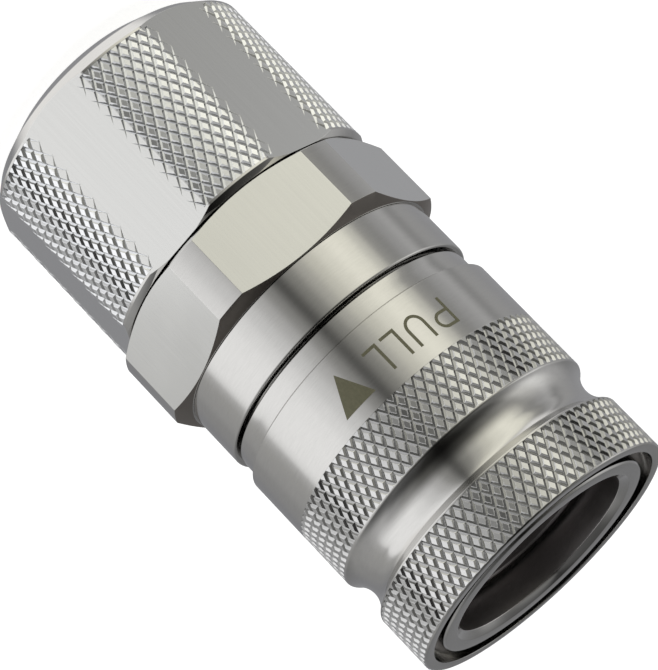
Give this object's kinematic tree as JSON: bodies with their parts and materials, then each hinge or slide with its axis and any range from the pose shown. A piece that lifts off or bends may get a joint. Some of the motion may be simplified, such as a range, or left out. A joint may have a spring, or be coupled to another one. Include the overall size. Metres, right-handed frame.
{
  "type": "liquid cooling quick coupling",
  "caption": "Socket half of a no-spill coolant quick coupling: knurled release sleeve on a ball-locked body, hexagon flange, and a knurled compression nut for soft tube.",
  "frame": {"origin": "centre of the flat rear end of the compression nut, on the coupling's axis", "axes": "+Z along the axis towards the socket's mouth; a wide flat of the hexagon flange faces -Y"},
  "size_m": [0.0264, 0.025, 0.0517],
  "materials": {
    "turned_steel": "turned and polished, bright",
    "inner_steel": "turned, satin",
    "ball_steel": "ground and polished",
    "spring_wire": "drawn wire",
    "seal_rubber": "moulded, matt"
  },
  "bodies": {
    "root": {"hex_adapter": "turned_steel", "body_seal": "seal_rubber", "socket_body": "turned_steel", "valve_stem": "turned_steel", "stem_spider": "inner_steel", "stem_nut": "turned_steel", "stem_seal": "seal_rubber", "valve_guide": "inner_steel", "valve_sleeve_seal": "seal_rubber", "valve_spring": "spring_wire", "keeper_spring": "spring_wire", "sleeve_spring": "spring_wire", "retaining_ring": "inner_steel"},
    "nut": {"compression_nut": "turned_steel"},
    "sleeve": {"release_sleeve": "turned_steel"},
    "keeper": {"ball_keeper": "inner_steel"},
    "valve": {"valve_sleeve": "turned_steel", "face_seal": "seal_rubber"},
    "ball_1": {"locking_ball_1": "ball_steel"},
    "ball_2": {"locking_ball_2": "ball_steel"},
    "ball_3": {"locking_ball_3": "ball_steel"},
    "ball_4": {"locking_ball_4": "ball_steel"},
    "ball_5": {"locking_ball_5": "ball_steel"},
    "ball_6": {"locking_ball_6": "ball_steel"},
    "ball_7": {"locking_ball_7": "ball_steel"},
    "ball_8": {"locking_ball_8": "ball_steel"}
  },
  "joints": [
    {"name": "sleeve_slide", "type": "slide", "parent": "root", "child": "sleeve", "axis": [0, 0, 1], "range_m": [0, 0.0022], "deforming": ["sleeve_spring"]},
    {"name": "keeper_slide", "type": "slide", "parent": "root", "child": "keeper", "axis": [0, 0, -1], "range_m": [0, 0.0016], "stiffness_N_per_m": 400, "springref_m": -0.006, "deforming": ["keeper_spring"]},
    {"name": "valve_slide", "type": "slide", "parent": "root", "child": "valve", "axis": [0, 0, -1], "range_m": [0, 0.0055], "stiffness_N_per_m": 400, "springref_m": -0.008, "deforming": ["valve_spring"]},
    {"name": "nut_turn", "type": "hinge", "parent": "root", "child": "nut", "pos_m": [0, 0, 0.009], "axis": [0, 0, 1], "continuous": true},
    {"name": "ball_1_slide", "type": "slide", "parent": "root", "child": "ball_1", "axis": [-0.9239, -0.3827, 0], "range_m": [0, 0.0006]},
    {"name": "ball_2_slide", "type": "slide", "parent": "root", "child": "ball_2", "axis": [-0.3827, -0.9239, 0], "range_m": [0, 0.0006]},
    {"name": "ball_3_slide", "type": "slide", "parent": "root", "child": "ball_3", "axis": [0.3827, -0.9239, 0], "range_m": [0, 0.0006]},
    {"name": "ball_4_slide", "type": "slide", "parent": "root", "child": "ball_4", "axis": [0.9239, -0.3827, 0], "range_m": [0, 0.0006]},
    {"name": "ball_5_slide", "type": "slide", "parent": "root", "child": "ball_5", "axis": [0.9239, 0.3827, 0], "range_m": [0, 0.0006]},
    {"name": "ball_6_slide", "type": "slide", "parent": "root", "child": "ball_6", "axis": [0.3827, 0.9239, 0], "range_m": [0, 0.0006]},
    {"name": "ball_7_slide", "type": "slide", "parent": "root", "child": "ball_7", "axis": [-0.3827, 0.9239, 0], "range_m": [0, 0.0006]},
    {"name": "ball_8_slide", "type": "slide", "parent": "root", "child": "ball_8", "axis": [-0.9239, 0.3827, 0], "range_m": [0, 0.0006]}
  ],
  "couplings": [
    {"joint": "keeper_slide", "follows": "sleeve_slide", "ratio": 0.72727},
    {"joint": "ball_1_slide", "follows": "sleeve_slide", "ratio": 0.27273},
    {"joint": "ball_2_slide", "follows": "sleeve_slide", "ratio": 0.27273},
    {"joint": "ball_3_slide", "follows": "sleeve_slide", "ratio": 0.27273},
    {"joint": "ball_4_slide", "follows": "sleeve_slide", "ratio": 0.27273},
    {"joint": "ball_5_slide", "follows": "sleeve_slide", "ratio": 0.27273},
    {"joint": "ball_6_slide", "follows": "sleeve_slide", "ratio": 0.27273},
    {"joint": "ball_7_slide", "follows": "sleeve_slide", "ratio": 0.27273},
    {"joint": "ball_8_slide", "follows": "sleeve_slide", "ratio": 0.27273}
  ]
}
